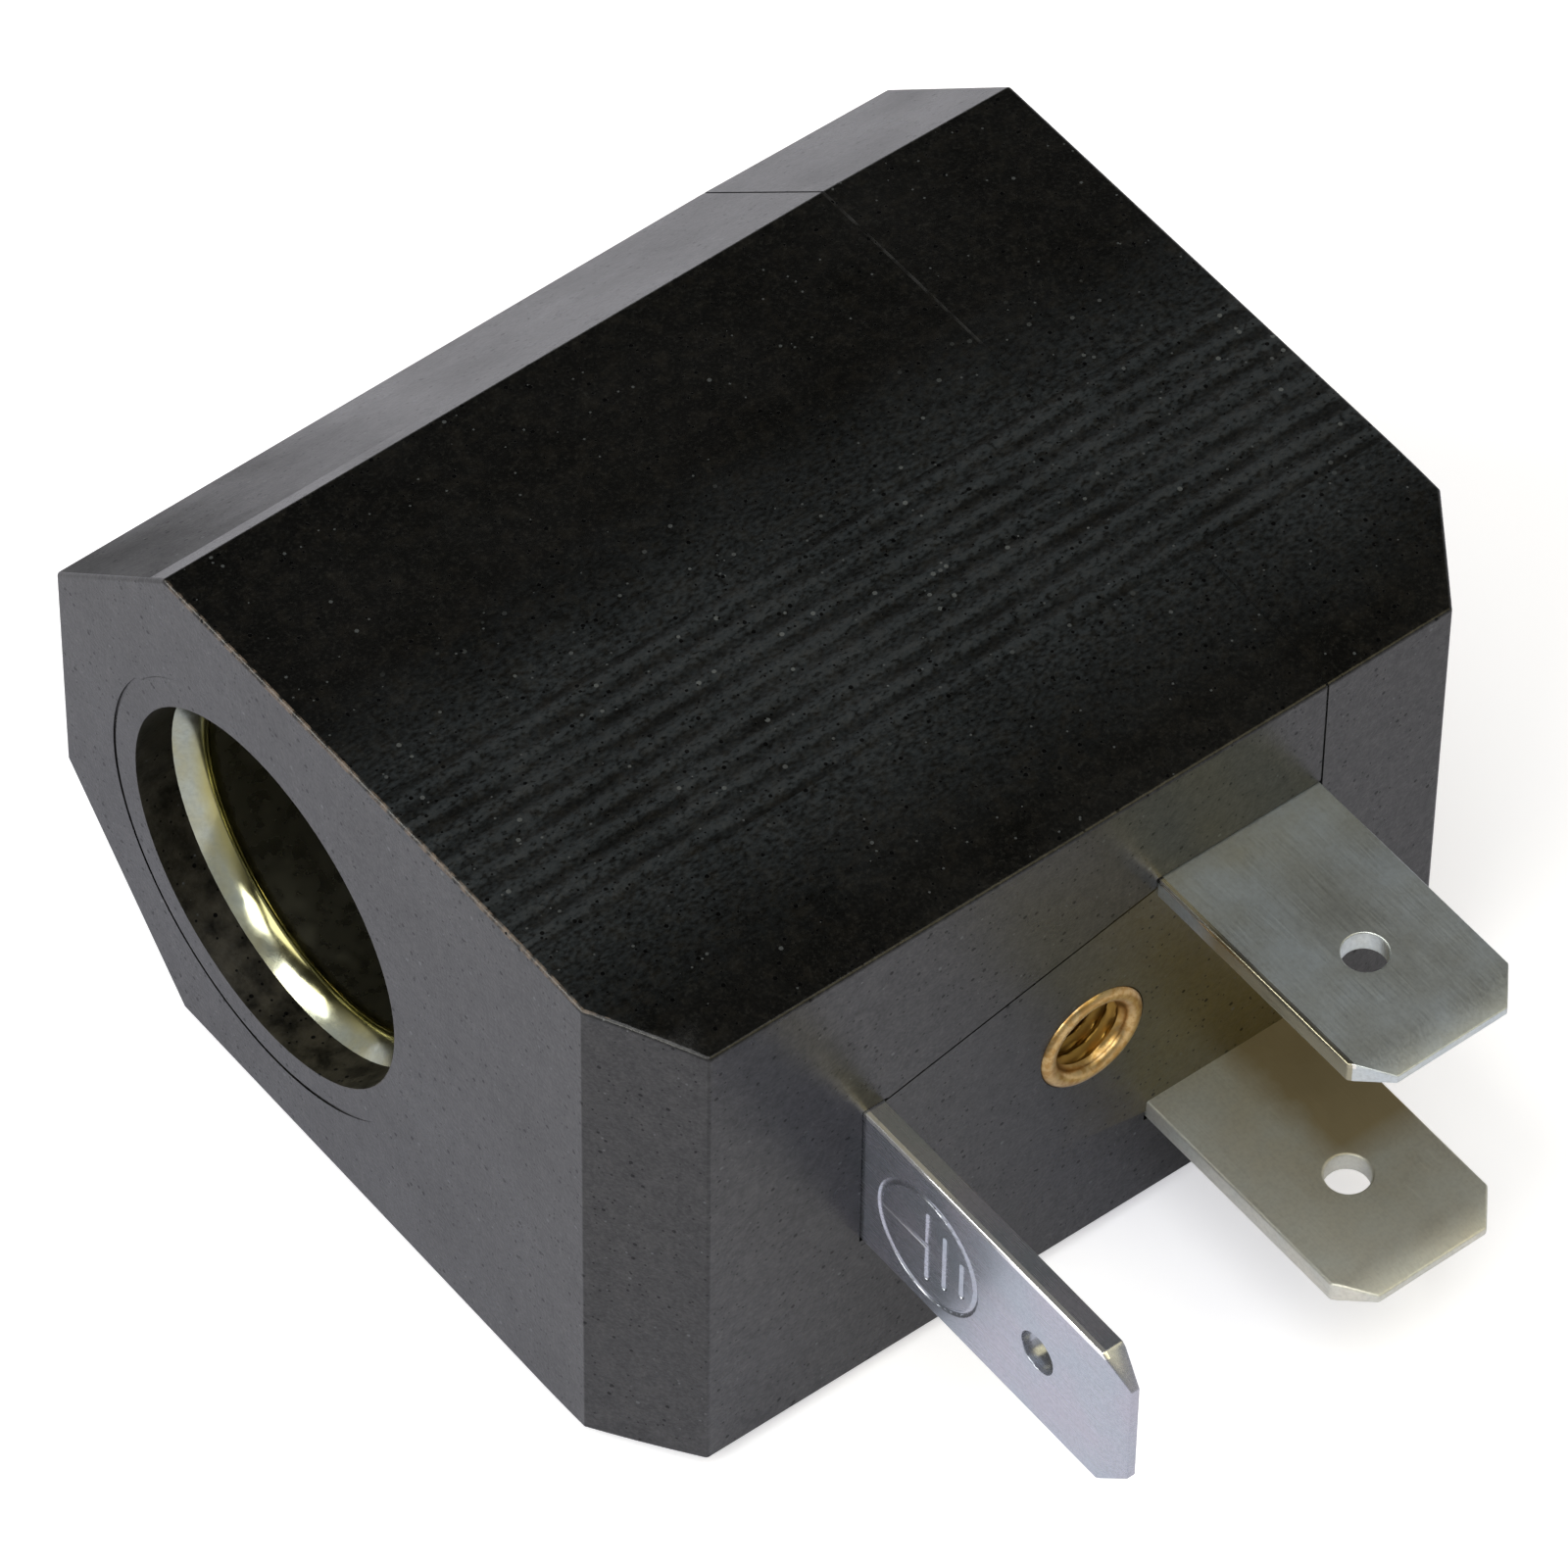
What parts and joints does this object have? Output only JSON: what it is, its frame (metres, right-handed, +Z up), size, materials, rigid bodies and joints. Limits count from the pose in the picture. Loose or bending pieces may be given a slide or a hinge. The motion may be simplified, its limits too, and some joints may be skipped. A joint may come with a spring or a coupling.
{
  "type": "solenoid valve coil",
  "caption": "Encapsulated solenoid valve coil with a through bore in steel bushes, flat power blades, an earth blade and a brass thread insert for a plug.",
  "frame": {"origin": "on the bore axis, in the plane of the front face", "axes": "+X along the bore from the front face to the back, +Z up as the coil lies on its lower face, the blades point along -Y"},
  "size_m": [0.033, 0.043, 0.0214],
  "materials": {
    "moulded_black": "semi-gloss glass-filled moulding",
    "block_black": "semi-gloss glass-filled moulding",
    "bobbin_plastic": "moulded, satin",
    "enamelled_copper": "enamelled copper wire",
    "yellow_tape": "polyester film",
    "yoke_steel": "zinc-plated strip",
    "bush_plate": "drawn, yellow-passivated zinc plate",
    "tin_plate": "dull tin plate",
    "nickel_plate": "bright nickel plate",
    "rivet_steel": "plated",
    "insert_brass": "turned",
    "sleeve": "woven glass sleeving",
    "solder": "set solder"
  },
  "bodies": {
    "root": {"overmould_body": "moulded_black", "terminal_block": "block_black", "bobbin": "bobbin_plastic", "winding": "enamelled_copper", "winding_tape": "yellow_tape", "yoke_frame": "yoke_steel", "front_flux_bush": "bush_plate", "rear_flux_bush": "bush_plate", "power_terminal_upper": "tin_plate", "power_terminal_lower": "tin_plate", "earth_terminal": "nickel_plate", "earth_rivet": "rivet_steel", "threaded_insert": "insert_brass", "lead_wire_start": "enamelled_copper", "lead_wire_end": "enamelled_copper", "lead_sleeve_start": "sleeve", "lead_sleeve_end": "sleeve", "solder_joint_start": "solder", "solder_joint_end": "solder"}
  },
  "joints": []
}
